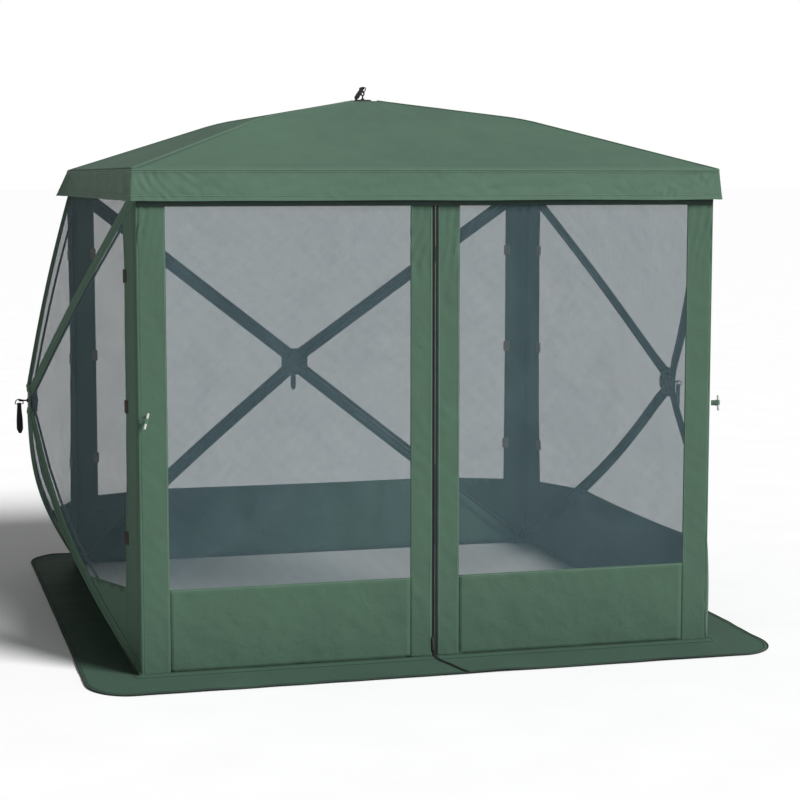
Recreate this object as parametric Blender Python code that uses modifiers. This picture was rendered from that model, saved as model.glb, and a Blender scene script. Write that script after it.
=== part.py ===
"""Pop-up screen house: a square hub tent with mesh walls, a zipped front and a low bowed roof.

Lengths are in metres. +Z is up, the door wall faces -Y, and the ground is z = 0.
"""

import math

import bmesh
import bpy
from mathutils import Matrix, Vector

# Plan and heights
HALF = 1.065  # half the width between wall corners
FABRIC = 0.003  # thickness that stands for the cloth
GAP = 0.0003  # space left between pieces that touch
WALL_BOTTOM = 0.005
WALL_TOP = 1.700
EAVE_Z = 1.770
EAVE_HALF = 1.080
VALANCE_DROP = 0.120
VALANCE_FLARE = 0.012
VALANCE_GAP = 0.0045  # under the canopy's edge
PEAK_Z = 2.045
KINK_AT = 0.47  # where each hip bends, as a share of the way from peak to eave
KINK_Z = 1.965
BULGE = 0.285  # how far a popped-out hub stands out of its wall
PAD = 0.055  # half the flat square of cloth that a hub clamps

BORE_IN_CLOTH = 0.009

# Ground skirt
SKIRT_REACH = 0.250
SKIRT_RADIUS = 0.150
SKIRT_T = 0.0025

# Front wall
POST_STRIP = 0.098
DOOR_TOP = 1.6445
DOOR_BOTTOM = 0.008
TAPE_W = 0.006
TAPE_T = 0.004
SLIDER_Z = 0.070
SLIDER_SIZE = (0.0100, 0.0045, 0.0240)
TAB_SIZE = (0.0070, 0.0025, 0.0320)
TAB_DROP = 0.0220
SLIDER_OUT = 0.0056

# Poles, brackets and feet. A pole in place is flexed outwards by its bow.
POLE_R = 0.00475
POLE_START = 0.0050
ROOF_BOW = 0.078
ROOF_BEND_AT = 0.53  # where a roof pole is bent most, as a share from pin to tip
UPPER_BOW = 0.012
LOWER_BOW = 0.060
BEND_POINTS = (0.25, 0.40, 0.47, 0.53, 0.60, 0.75)
CLOTH_RINGS = (0.0, 0.25, 0.50, 0.75, 1.0)
CORNER_IN = 0.027  # bracket centre, in from each wall plane
BRACKET_Z = 1.705
FOOT_Z = 0.035
CORE_R = 0.020
CORE_UP = 0.022
HINGE_OUT = 0.042  # bracket centre to a pole's pin
KNUCKLE_R = 0.0085
KNUCKLE_W = 0.010
PIN_R = 0.0025
PIN_PLAY = 0.00008
EAR_T = 0.004
EAR_PLAY = 0.0004
FORK_HIGH = 0.0170
FORK_BACK = 0.0280
FORK_FRONT = 0.0080
FORK_OVERLAP = 0.014

# Hubs, measured outwards from the cloth's outer face
HUB_R = 0.050
HUB_T = 0.024
SLOT_W = 0.0115
SLOT_IN = 0.0078
SLOT_DEEP = 0.020  # inside this radius the slots leave a web on both faces
SLOT_WEB = 0.0038
TIP_R = 0.047  # pole tip to hub axis at rest
PLATE_R = 0.036
PLATE_T = 0.006
BOLT_R = 0.003
BOLT_BORE = 0.0033
NUT_R = 0.0075
EYE_AT = 0.032
EYE_R = 0.009
EYE_WIRE = 0.003
RING_R = 0.0155
RING_WIRE = 0.002
RING_LEG = 0.003
STRAP_W = 0.025
STRAP_T = 0.0026
STRAP_DROP = 0.115
ROOF_STRAP_DROP = 0.064
ROOF_STRAP_LEAN = math.radians(40)

# Tie-back toggles on the front corners
TOGGLE_Z = 0.905
TOGGLE_W = 0.020
TOGGLE_TAIL = 0.026
TOGGLE_OFF = 0.0072
BAR_R = 0.0045
BAR_LONG = 0.060
BAR_TILT = math.radians(29)

HUB_Z = (BRACKET_Z + FOOT_Z) / 2
CORE = HALF - CORNER_IN
BLOCK_MID = -FABRIC - GAP - HUB_T / 2
EYE_TOP = EYE_AT + EYE_R + EYE_WIRE
ORIGIN_Y = (HALF + SKIRT_REACH - (HALF + BULGE + EYE_TOP)) / 2
Z = Vector((0, 0, 1))


def clear_scene():
    for obj in list(bpy.data.objects):
        bpy.data.objects.remove(obj, do_unlink=True)


clear_scene()
HOUSE = bpy.data.collections.new("screen_house")
CUTTERS = bpy.data.collections.new("cutters")
CUTTERS.hide_render = True
bpy.context.scene.collection.children.link(HOUSE)
bpy.context.scene.collection.children.link(CUTTERS)


def material(name, colour, roughness, metallic=0.0):
    made = bpy.data.materials.new(name)
    made.use_nodes = True
    shader = made.node_tree.nodes["Principled BSDF"]
    shader.inputs["Base Color"].default_value = (*colour, 1.0)
    shader.inputs["Roughness"].default_value = roughness
    shader.inputs["Metallic"].default_value = metallic
    made.diffuse_color = (*colour, 1.0)
    return made


ROOF_CLOTH = material("roof_cloth", (0.115, 0.190, 0.140), 0.75)
WALL_MESH = material("wall_mesh", (0.190, 0.210, 0.215), 0.85)
BORDER_CLOTH = material("border_cloth", (0.105, 0.170, 0.125), 0.75)
SKIRT_CLOTH = material("skirt_cloth", (0.060, 0.105, 0.080), 0.80)
ZIP_BLACK = material("zip_black", (0.030, 0.034, 0.034), 0.55)
FIBREGLASS = material("fibreglass", (0.045, 0.048, 0.048), 0.40)
HUB_PLASTIC = material("hub_plastic", (0.020, 0.021, 0.022), 0.45)
STEEL = material("steel", (0.500, 0.500, 0.500), 0.30, 1.0)
WEBBING = material("webbing", (0.018, 0.018, 0.019), 0.85)
GREEN_WEBBING = material("green_webbing", (0.080, 0.140, 0.100), 0.85)
TOGGLE_PLASTIC = material("toggle_plastic", (0.300, 0.320, 0.310), 0.45)


def show(name, mesh, mat, matrix=None, angle=35):
    """Adds a finished mesh as a node of the screen house."""
    if not mesh.materials:
        mesh.materials.append(mat)
        mesh.shade_smooth()
        mesh.set_sharp_from_angle(angle=math.radians(angle))
    obj = bpy.data.objects.new(name, mesh)
    HOUSE.objects.link(obj)
    shift = Matrix.Translation((0, ORIGIN_Y, 0))
    obj.matrix_world = shift @ (matrix or Matrix.Identity(4))
    return obj


def helper(name, mesh, matrix=None):
    obj = bpy.data.objects.new(name, mesh)
    CUTTERS.objects.link(obj)
    obj.hide_render = True
    obj.display_type = "WIRE"
    obj.matrix_world = matrix or Matrix.Identity(4)
    return obj


def baked(obj):
    """The object's shape with its modifiers, in its own axes. The object is removed."""
    bpy.context.view_layer.update()
    graph = bpy.context.evaluated_depsgraph_get()
    mesh = bpy.data.meshes.new_from_object(obj.evaluated_get(graph))
    bpy.data.objects.remove(obj, do_unlink=True)
    return mesh


def combined(name, base, others, operation="UNION"):
    """Joins meshes to the base, or cuts them from it. Each of the others is (mesh, matrix)."""
    obj = helper(name, base)
    tools = []
    for index, (mesh, matrix) in enumerate(others):
        tools.append(helper(f"{name}_{index}", mesh, matrix))
    for tool in tools:
        step = obj.modifiers.new(tool.name, "BOOLEAN")
        step.operation = operation
        step.solver = "EXACT"
        step.object = tool
    mesh = baked(obj)
    for tool in tools:
        bpy.data.objects.remove(tool, do_unlink=True)
    mesh.name = name
    return mesh


def from_bmesh(name, work):
    bmesh.ops.recalc_face_normals(work, faces=work.faces)
    mesh = bpy.data.meshes.new(name)
    work.to_mesh(mesh)
    work.free()
    return mesh


def box(low, high, name="box"):
    work = bmesh.new()
    bmesh.ops.create_cube(work, size=1)
    low = Vector(low)
    high = Vector(high)
    for vert in work.verts:
        vert.co = (low + high) / 2 + Vector(a * b for a, b in zip(vert.co, high - low))
    return from_bmesh(name, work)


def cylinder(radius, low, high, segments=24, name="cylinder"):
    """A cylinder on the Z axis."""
    work = bmesh.new()
    place = Matrix.Translation((0, 0, (low + high) / 2))
    bmesh.ops.create_cone(
        work,
        cap_ends=True,
        segments=segments,
        radius1=radius,
        radius2=radius,
        depth=high - low,
        matrix=place,
    )
    return from_bmesh(name, work)


def turned(name, profile, steps=32):
    """A solid of revolution about Z. The profile runs down the outer side, at +X."""
    work = bmesh.new()
    verts = [work.verts.new((x, 0, z)) for x, z in profile]
    for first, second in zip(verts, verts[1:] + verts[:1]):
        work.edges.new((first, second))
    mesh = bpy.data.meshes.new(name)
    work.to_mesh(mesh)
    work.free()
    obj = helper(name, mesh)
    screw = obj.modifiers.new("screw", "SCREW")
    screw.steps = steps
    screw.render_steps = steps
    screw.use_merge_vertices = True
    screw.merge_threshold = 0.00001
    screw.use_normal_calculate = True
    return baked(obj)


def wire(name, points, radius, cyclic=False):
    """A round bar along the points."""
    curve = bpy.data.curves.new(name, "CURVE")
    curve.dimensions = "3D"
    curve.bevel_depth = radius
    curve.bevel_resolution = 2
    curve.use_fill_caps = True
    line = curve.splines.new("POLY")
    line.points.add(len(points) - 1)
    for spot, point in zip(line.points, points):
        spot.co = (*point, 1.0)
    line.use_cyclic_u = cyclic
    mesh = baked(helper(name, curve))
    work = bmesh.new()
    work.from_mesh(mesh)
    bmesh.ops.remove_doubles(work, verts=work.verts, dist=0.00001)
    return from_bmesh(name, work)


def plate_of(name, outlines, thickness):
    """A flat plate in XY with the outlines filled, holes included, centred on z = 0."""
    curve = bpy.data.curves.new(name, "CURVE")
    curve.dimensions = "2D"
    curve.fill_mode = "BOTH"
    curve.extrude = thickness / 2
    for outline in outlines:
        line = curve.splines.new("POLY")
        line.points.add(len(outline) - 1)
        for spot, (x, y) in zip(line.points, outline):
            spot.co = (x, y, 0.0, 1.0)
        line.use_cyclic_u = True
    mesh = baked(helper(name, curve))
    work = bmesh.new()
    work.from_mesh(mesh)
    bmesh.ops.remove_doubles(work, verts=work.verts, dist=0.00001)
    return from_bmesh(name, work)


def arc(centre, radius, start, end, steps):
    """Points along an arc in a plane, ends included, with angles in degrees."""
    found = []
    for index in range(steps + 1):
        angle = math.radians(start + (end - start) * index / steps)
        found.append((centre[0] + radius * math.cos(angle), centre[1] + radius * math.sin(angle)))
    return found


def square_ring(half, height, centre=(0, 0), other=None):
    """Eight points round a square: corners and edge middles, seen from outside."""
    across = half
    along = half if other is None else other
    signs = [(1, 0), (1, 1), (0, 1), (-1, 1), (-1, 0), (-1, -1), (0, -1), (1, -1)]
    return [Vector((centre[0] + a * across, centre[1] + b * along, height)) for a, b in signs]


def round_ring(radius, height, centre=(0, 0)):
    found = []
    for index in range(8):
        angle = index * math.pi / 4
        spot = (centre[0] + radius * math.cos(angle), centre[1] + radius * math.sin(angle), height)
        found.append(Vector(spot))
    return found


def sheet(name, rings):
    """Cloth stretched from ring to ring, given its thickness on the inner side."""
    work = bmesh.new()
    rows = [[work.verts.new(point) for point in ring] for ring in rings]
    for outer, inner in zip(rows, rows[1:]):
        for index in range(len(outer)):
            after = (index + 1) % len(outer)
            work.faces.new((outer[index], outer[after], inner[after], inner[index]))
    mesh = bpy.data.meshes.new(name)
    work.to_mesh(mesh)
    work.free()
    obj = helper(name, mesh)
    solid = obj.modifiers.new("thickness", "SOLIDIFY")
    solid.thickness = FABRIC
    solid.offset = -1
    solid.use_even_offset = True
    solid.use_quality_normals = True
    return baked(obj)


def frame_from(origin, x_axis, y_axis, z_axis):
    turn = Matrix((x_axis, y_axis, z_axis)).transposed()
    return Matrix.Translation(origin) @ turn.to_4x4()


# ---------------------------------------------------------------- frames of walls and hubs

WALLS = {
    "left": Vector((-1, 0, 0)),
    "back": Vector((0, 1, 0)),
    "right": Vector((1, 0, 0)),
}


def wall_frame(side):
    """Origin at the wall's middle on the wall plane: x across, y up, z outwards."""
    out = WALLS[side]
    return frame_from(out * HALF + Z * HUB_Z, Z.cross(out), Z, out)


def hub_frame(side):
    """Origin on the hub's axis at the cloth's outer face, z outwards."""
    if side == "roof":
        lean = Vector((-0.80, -0.60, 0))
        return frame_from(Z * PEAK_Z, lean, Z.cross(lean), Z)
    return wall_frame(side) @ Matrix.Translation((0, 0, BULGE))


def corners_of(side):
    """The bracket or foot centres that hold this side's four poles, by name."""
    found = {}
    if side == "roof":
        for name, x, y in (("fl", -1, -1), ("fr", 1, -1), ("br", 1, 1), ("bl", -1, 1)):
            found[name] = Vector((x * CORE, y * CORE, BRACKET_Z))
        return found
    out = WALLS[side]
    across = Z.cross(out)
    ends = {"left": "bf", "back": "rl", "right": "fb"}[side]
    for letter, sign in zip(ends, (-1, 1)):
        base = out * CORE + across * (sign * CORE)
        for level, height in (("upper", BRACKET_Z), ("lower", FOOT_Z)):
            found[f"{level}_{letter}"] = base + Z * height
    return found


def pole_frame(side, centre):
    """Origin on the pole's pin, x to its tip in the hub, y along the pin, z outwards."""
    hub = hub_frame(side)
    axis = hub.to_3x3() @ Vector((0, 0, 1))
    middle = hub @ Vector((0, 0, BLOCK_MID))
    flat = middle - centre
    flat -= axis * flat.dot(axis)
    flat.normalize()
    pin = centre + flat * HINGE_OUT
    tip = middle - flat * TIP_R
    along = (tip - pin).normalized()
    across = axis.cross(flat).normalized()
    return frame_from(pin, along, across, along.cross(across)), (tip - pin).length


# ---------------------------------------------------------------- cloth

def wall_cloth(side):
    """A wall: cloth from its four edges to the square that the hub clamps, flexed by its poles."""
    narrow = FABRIC + 0.0005 if side == "back" else 0.0
    middle = (WALL_TOP + WALL_BOTTOM) / 2 - HUB_Z
    tall = (WALL_TOP - WALL_BOTTOM) / 2
    rings = []
    for share in CLOTH_RINGS:
        left = 1 - share
        half = (HALF - narrow) * left + PAD * share
        high = tall * left + PAD * share
        ring = square_ring(half, BULGE * share, (0, middle * left), high)
        for spot in ring:
            lower = (1 - (spot.y - middle * left) / high) / 2
            bow = UPPER_BOW + (LOWER_BOW - UPPER_BOW) * lower
            spot.z += bow * math.sin(math.pi * share)
        rings.append(ring)
    rings.append(round_ring(BORE_IN_CLOTH, BULGE))
    show(f"wall_{side}", sheet(f"wall_{side}", rings), WALL_MESH, wall_frame(side), 5)


def roof_cloth():
    rings = [
        square_ring(EAVE_HALF, EAVE_Z),
        square_ring(EAVE_HALF * KINK_AT, KINK_Z),
        square_ring(PAD, PEAK_Z),
        round_ring(BORE_IN_CLOTH, PEAK_Z),
    ]
    show("roof_canopy", sheet("roof_canopy", rings), ROOF_CLOTH, angle=3)


def valance():
    low = EAVE_Z - VALANCE_DROP
    high = EAVE_Z - VALANCE_GAP
    rings = [square_ring(EAVE_HALF + VALANCE_FLARE, low), square_ring(EAVE_HALF, high)]
    show("valance", sheet("valance", rings), ROOF_CLOTH, angle=20)


def skirt():
    """The flap that lies on the ground all round, with rounded corners."""
    outer = HALF + SKIRT_REACH
    turn = outer - SKIRT_RADIUS
    outline = []
    for x, y, start in ((1, 1, 0), (-1, 1, 90), (-1, -1, 180), (1, -1, 270)):
        outline += arc((x * turn, y * turn), SKIRT_RADIUS, start, start + 90, 6)
    inner = HALF - FABRIC - 0.0005
    hole = [(inner, inner), (-inner, inner), (-inner, -inner), (inner, -inner)]
    mesh = plate_of("ground_skirt", [outline, hole], SKIRT_T)
    show("ground_skirt", mesh, SKIRT_CLOTH, Matrix.Translation((0, 0, SKIRT_T / 2)))


def front_wall():
    """The fixed border of the door wall, its two mesh halves and the zip between them."""
    edge = HALF - FABRIC - 0.0005
    inside = edge - POST_STRIP
    top = DOOR_TOP + 0.0035
    outline = [
        (-edge, WALL_BOTTOM),
        (-inside, WALL_BOTTOM),
        (-inside, top),
        (inside, top),
        (inside, WALL_BOTTOM),
        (edge, WALL_BOTTOM),
        (edge, WALL_TOP),
        (-edge, WALL_TOP),
    ]
    upright = Matrix.Rotation(math.pi / 2, 4, "X")
    place = Matrix.Translation((0, -HALF + FABRIC / 2, 0)) @ upright
    show("front_border", plate_of("front_border", [outline], FABRIC), BORDER_CLOTH, place)
    hinge = inside - GAP
    inner = TAPE_W + 2 * GAP
    for side, sign in (("left", -1), ("right", 1)):
        pivot = Matrix.Translation((sign * hinge, -HALF, 0))
        ends = sorted((0.0, -sign * (hinge - inner)))
        panel = box((ends[0], 0, DOOR_BOTTOM), (ends[1], FABRIC, DOOR_TOP), f"door_{side}")
        show(f"door_{side}", panel, WALL_MESH, pivot)
        ends = sorted((-sign * (hinge - inner + GAP), -sign * (hinge - GAP / 2)))
        depth = (FABRIC - TAPE_T) / 2
        low = (ends[0], depth, DOOR_BOTTOM)
        high = (ends[1], depth + TAPE_T, DOOR_TOP)
        tape = box(low, high, f"zip_tape_{side}")
        show(f"zip_tape_{side}", tape, ZIP_BLACK, pivot)
    wide, deep, tall = SLIDER_SIZE
    body = box((-wide / 2, -deep, -tall / 2), (wide / 2, 0, tall / 2))
    wide, thick, tall = TAB_SIZE
    tab = box((-wide / 2, -thick / 2, -tall / 2), (wide / 2, thick / 2, tall / 2))
    hung = Matrix.Translation((0, -deep, -TAB_DROP))
    slider = combined("zip_slider", body, [(tab, hung)])
    place = Matrix.Translation((-SLIDER_OUT, -HALF + depth - GAP, SLIDER_Z))
    show("zip_slider", slider, ZIP_BLACK, place)


# ---------------------------------------------------------------- frame

def flexed(kind, share):
    """How far out of the straight line a pole stands, at this share from pin to tip."""
    if kind != "roof":
        bow = LOWER_BOW if kind == "lower" else UPPER_BOW
        return bow * math.sin(math.pi * share)
    if share < ROOF_BEND_AT:
        return ROOF_BOW * (share / ROOF_BEND_AT) ** 0.9
    return ROOF_BOW * ((1 - share) / (1 - ROOF_BEND_AT)) ** 0.9


def pole_mesh(kind, length):
    """A rod with a pinned knuckle. Its axis runs from the pin to the tip, and z is outwards."""
    name = f"{kind}_pole"
    points = [(POLE_START, 0, 0)]
    for share in BEND_POINTS:
        points.append((share * length, 0, flexed(kind, share)))
    points.append((length, 0, 0))
    rod = wire(name, points, POLE_R)
    half = KNUCKLE_W / 2
    bore = PIN_R + PIN_PLAY
    profile = [(bore, half), (KNUCKLE_R, half), (KNUCKLE_R, -half), (bore, -half)]
    knuckle = turned("knuckle", profile, 20)
    return combined(name, knuckle, [(rod, Matrix.Rotation(-math.pi / 2, 4, "X"))])


def poles(side):
    """The four poles of one hub. Poles that flex alike share one shape."""
    shapes = {}
    lay = Matrix.Rotation(math.pi / 2, 4, "X")
    for corner, centre in corners_of(side).items():
        frame, length = pole_frame(side, centre)
        kind = "roof" if side == "roof" else corner.split("_")[0]
        if kind not in shapes:
            shapes[kind] = pole_mesh(kind, length)
        show(f"pole_{side}_{corner}", shapes[kind], FIBREGLASS, frame @ lay)


def fork():
    """The bracket's half of one pole joint: two ears and the pin, in the pole's frame."""
    ear = KNUCKLE_W / 2 + EAR_PLAY
    outer = ear + EAR_T
    half = FORK_HIGH / 2
    back = box((-FORK_BACK, -outer, -half), (-KNUCKLE_R - 0.001, outer, half))
    pieces = []
    for low, high in ((-outer, -ear), (ear, outer)):
        side = box((-FORK_OVERLAP, low, -half), (FORK_FRONT, high, half))
        pieces.append((side, Matrix.Identity(4)))
    pin = cylinder(PIN_R, -outer + 0.001, outer - 0.001, 20)
    pieces.append((pin, Matrix.Rotation(math.pi / 2, 4, "X")))
    return combined("fork", back, pieces)


def corner_pieces():
    """Each corner's bracket at the eave and foot on the ground, with a fork for every pole."""
    holds = {}
    for side in ("roof", "left", "back", "right"):
        for centre in corners_of(side).values():
            frame, _ = pole_frame(side, centre)
            key = tuple(round(value, 6) for value in centre)
            holds.setdefault(key, []).append(frame)
    for key, frames in holds.items():
        x, y, z = key
        high = z > HUB_Z
        where = ("b" if y > 0 else "f") + ("r" if x > 0 else "l")
        name = ("corner_bracket_" if high else "corner_foot_") + where
        centre = Vector(key)
        low = -CORE_UP if high else -FOOT_Z
        core = cylinder(CORE_R, low, CORE_UP, 24)
        inverse = Matrix.Translation(-centre)
        joints = [(fork(), inverse @ frame) for frame in frames]
        mesh = combined(name, core, joints)
        show(name, mesh, HUB_PLASTIC, Matrix.Translation(centre), 30)


def hub_block(side):
    """The inner block, with an open slot for each pole tip and a bore for the bolt."""
    high = -FABRIC - GAP
    low = high - HUB_T
    profile = [
        (BOLT_BORE, high),
        (HUB_R - 0.002, high),
        (HUB_R, high - 0.002),
        (HUB_R, low + 0.004),
        (HUB_R - 0.004, low),
        (BOLT_BORE, low),
    ]
    block = turned(f"hub_block_{side}", profile, 36)
    half = SLOT_W / 2
    inverse = hub_frame(side).inverted()
    slots = []
    for centre in corners_of(side).values():
        spot = inverse @ centre
        turn = Matrix.Rotation(math.atan2(spot.y, spot.x), 4, "Z")
        near = half - 0.0003
        inner = box((SLOT_IN, -near, low + SLOT_WEB), (SLOT_DEEP + 0.001, near, high - SLOT_WEB))
        outer = box((SLOT_DEEP, -half, low - 0.01), (0.08, half, high + 0.01))
        slots += [(inner, turn), (outer, turn)]
    return combined(f"hub_block_{side}", block, slots, "DIFFERENCE")


def hub_plate():
    low = GAP
    high = GAP + PLATE_T
    profile = [
        (BOLT_BORE, high),
        (PLATE_R - 0.004, high),
        (PLATE_R, high - 0.003),
        (PLATE_R, low),
        (BOLT_BORE, low),
    ]
    return turned("hub_plate", profile, 32)


def eye_bolt():
    """Head inside the block, nut outside the plate, and the eye. The eye lies in x and z."""
    low = -FABRIC - GAP - HUB_T - GAP
    head = cylinder(NUT_R, low - 0.005, low, 6)
    shank = cylinder(BOLT_R, low - 0.001, EYE_AT - EYE_R + 0.001, 16)
    nut = cylinder(NUT_R, 2 * GAP + PLATE_T, 2 * GAP + PLATE_T + 0.005, 6)
    loop = wire("eye", [(x, 0, EYE_AT + z) for x, z in arc((0, 0), EYE_R, 0, 345, 23)], EYE_WIRE, True)
    plain = Matrix.Identity(4)
    return combined("eye_bolt", shank, [(head, plain), (nut, plain), (loop, plain)])


def d_ring():
    """The ring's frame: origin on the eye's wire, the ring hanging to -y in the y-z plane."""
    centre = -(RING_R - RING_WIRE - EYE_WIRE - GAP)
    low = centre - RING_LEG
    points = [(0, centre + y, x) for x, y in arc((0, 0), RING_R, 0, 180, 14)]
    points = [(0, low, RING_R)] + points + [(0, low, -RING_R)]
    return wire("d_ring", points, RING_WIRE, True), low


def webbing_loop(name, width, hole, wall, tail, thickness):
    """Webbing folded round a bar on the z axis, with its tail hanging to -y."""
    outer = hole + wall
    half = thickness / 2
    bend = math.degrees(math.asin(half / outer))
    outline = arc((0, 0), outer, -90 + bend, 270 - bend, 18)
    outline += [(-half, -tail), (half, -tail)]
    inside = arc((0, 0), hole, 0, 345, 15)
    return plate_of(name, [outline, inside], width)


def pull(side, frame, bar):
    """The D-ring and the webbing pull of one hub. The frame's origin is on the eye's wire."""
    ring, low = bar
    strap = webbing_loop(
        f"pull_strap_{side}",
        STRAP_W,
        RING_WIRE + GAP,
        0.0013,
        ROOF_STRAP_DROP if side == "roof" else STRAP_DROP,
        STRAP_T,
    )
    show(f"pull_ring_{side}", ring, STEEL, frame)
    place = frame @ Matrix.Translation((0, low, 0))
    if side == "roof":
        place = place @ Matrix.Rotation(math.pi - ROOF_STRAP_LEAN, 4, "Z")
    show(f"pull_strap_{side}", strap, WEBBING, place)


def pull_frame(side):
    """Where the ring hangs. At the back the eye is turned, so its ring hangs across the wall."""
    hub = hub_frame(side)
    if side == "back":
        spot = hub @ Matrix.Translation((0, -EYE_R, EYE_AT))
        return spot @ Matrix.Rotation(math.pi / 2, 4, "Y")
    spot = hub @ Matrix.Translation((0, 0, EYE_AT + EYE_R))
    if side == "roof":
        return spot @ Matrix.Rotation(-math.pi / 2, 4, "X")
    return spot


def hubs():
    plate = hub_plate()
    bolt = eye_bolt()
    bar = d_ring()
    for side in ("roof", "left", "back", "right"):
        frame = hub_frame(side)
        show(f"hub_block_{side}", hub_block(side), HUB_PLASTIC, frame, 30)
        show(f"hub_plate_{side}", plate, HUB_PLASTIC, frame, 30)
        turn = Matrix.Rotation(math.pi / 2 if side == "back" else 0, 4, "Z")
        show(f"eye_bolt_{side}", bolt, STEEL, frame @ turn)
        pull(side, pull_frame(side), bar)


def toggle_frame(side):
    """Origin where the toggle's webbing is sewn to the corner, y out along the webbing."""
    if side == "left":
        out = Vector((0.80, -0.60, 0))
        seam = Vector((-HALF + 0.004, -HALF - TOGGLE_OFF, TOGGLE_Z))
    else:
        out = Vector((0.94, -0.34, 0))
        seam = Vector((HALF + TOGGLE_OFF, -HALF + 0.004, TOGGLE_Z))
    return frame_from(seam, out.cross(Z), out, Z)


def toggles():
    """A folded webbing tab at each front corner, with a bar through it."""
    loop = webbing_loop("toggle_loop", TOGGLE_W, BAR_R + GAP, 0.0013, TOGGLE_TAIL, 0.0026)
    ends = [
        (0.0030, BAR_LONG / 2),
        (BAR_R, BAR_LONG / 2 - 0.002),
        (BAR_R, -BAR_LONG / 2 + 0.002),
        (0.0030, -BAR_LONG / 2),
    ]
    for side in ("left", "right"):
        tilt = Matrix.Rotation(-BAR_TILT, 4, "Y")
        frame = toggle_frame(side) @ Matrix.Translation((0, TOGGLE_TAIL, 0)) @ tilt
        show(f"toggle_loop_{side}", loop, GREEN_WEBBING, frame)
        bar = turned(f"toggle_bar_{side}", [(0.0, ends[0][1])] + ends + [(0.0, ends[3][1])], 16)
        show(f"toggle_bar_{side}", bar, TOGGLE_PLASTIC, frame)


roof_cloth()
valance()
for wall in WALLS:
    wall_cloth(wall)
    poles(wall)
poles("roof")
front_wall()
skirt()
corner_pieces()
hubs()
toggles()
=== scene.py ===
"""A pop-up screen house in green polyester and dark netting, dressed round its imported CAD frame.

Lengths are in metres, +Z is up and the door wall faces -Y. Walls, roof and skirt are sheets laid
out flat and then mapped onto the flexed shapes that the poles give them.
"""

import math

import bmesh
import bpy
from mathutils import Matrix, Vector, noise


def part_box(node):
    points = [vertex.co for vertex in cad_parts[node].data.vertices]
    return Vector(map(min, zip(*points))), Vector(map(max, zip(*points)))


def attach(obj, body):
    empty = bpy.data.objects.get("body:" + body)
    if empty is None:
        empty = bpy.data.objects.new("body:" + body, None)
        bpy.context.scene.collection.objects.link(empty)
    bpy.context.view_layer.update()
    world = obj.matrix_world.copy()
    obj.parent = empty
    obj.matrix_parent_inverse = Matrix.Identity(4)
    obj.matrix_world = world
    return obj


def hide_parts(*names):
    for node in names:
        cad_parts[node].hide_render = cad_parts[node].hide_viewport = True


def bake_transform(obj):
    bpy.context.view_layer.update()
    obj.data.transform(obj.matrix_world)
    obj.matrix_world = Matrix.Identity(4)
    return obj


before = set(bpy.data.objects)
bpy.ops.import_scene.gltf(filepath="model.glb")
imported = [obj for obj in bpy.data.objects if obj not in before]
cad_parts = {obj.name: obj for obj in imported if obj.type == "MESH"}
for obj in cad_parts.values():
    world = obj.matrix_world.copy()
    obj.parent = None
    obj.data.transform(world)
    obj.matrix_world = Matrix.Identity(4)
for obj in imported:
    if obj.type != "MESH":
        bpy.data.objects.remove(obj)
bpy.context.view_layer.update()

X, Y, Z = (Vector(row) for row in Matrix.Identity(3))
FRONT = -Y
TURN = 2 * math.pi
AROUND = ((-1, -1), (1, -1), (1, 1), (-1, 1))  # the signs of a square's corners, in order

# ---- sizes read from the frame
SIDE_LOW, SIDE_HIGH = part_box("wall_left")
BAND_LOW, BAND_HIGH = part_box("valance")
DOOR_LOW, DOOR_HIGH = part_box("door_left")
FRONT_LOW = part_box("front_border")[0]
ROOF_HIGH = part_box("roof_canopy")[1]

HALF = (SIDE_HIGH.y - SIDE_LOW.y) / 2
MID_Y = (SIDE_HIGH.y + SIDE_LOW.y) / 2
MIDDLE = Vector((0, MID_Y, 0))
WALL_TOP, WALL_BOTTOM = SIDE_HIGH.z, SIDE_LOW.z
BULGE = -SIDE_LOW.x - HALF
HUB_Z = sum(corner.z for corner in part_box("hub_block_left")) / 2
TOP, BOTTOM = WALL_TOP - HUB_Z, WALL_BOTTOM - HUB_Z  # the wall's ends, measured from its hub
EAVE_HALF, PEAK_Z = ROOF_HIGH.x, ROOF_HIGH.z
EAVE_Z = BAND_HIGH.z + 0.0045
FLARE = BAND_HIGH.x - EAVE_HALF
SKIRT_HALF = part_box("ground_skirt")[1].x
SKIRT_REACH = SKIRT_HALF - HALF
DOOR_TOP, DOOR_HINGE = DOOR_HIGH.z, -DOOR_LOW.x
FRONT_Y = FRONT_LOW.y

# Shapes that the poles hold
PAD = 0.055  # half the flat square at a hub
KINK_AT = 0.47
KINK_Z = PEAK_Z - 0.080
UPPER_BOW = 0.012
LOWER_BOW = 0.060
ROOF_SAG = 0.020
NET_SAG = 0.022

# Cloth layout
POST_W = 0.098
PANEL_TOP = 0.305
PANEL_Y = PANEL_TOP - HUB_Z
SLEEVE_HALF = 0.030
DOOR_STRIP = 0.083
ZIP_HALF = 0.0085
CLOTH_T = 0.0008
STITCH = (0.0052, 0.0011, 0.0006)  # length, width and height of one stitch
STITCH_PITCH = 0.0085
STITCH_LIFT = 0.0004
STILL_EDGE = 0.048  # the rim of a wall; its inner edge gives the start point handed to joined
ROOF_STILL_EDGE = 0.02

ROOF_SIDES = {"front": -Y, "right": X, "back": Y, "left": -X}
WALLS = {side: ROOF_SIDES[side] for side in ("left", "back", "right")}
SECTORS = {"top": Y, "bottom": -Y, "near": -X, "far": X}  # from the hub, in the wall's own frame

# Camera
CAM_AT = Vector((-1.96, -7.866 + MID_Y, 1.738))
CAM_YAW = math.radians(15.06)
CAM_PITCH = math.radians(-6.38)
CAM_LENS = 89.37


# ---- camera, made first
def added(name, data):
    obj = bpy.data.objects.new(name, data)
    bpy.context.scene.collection.objects.link(obj)
    return obj


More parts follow.
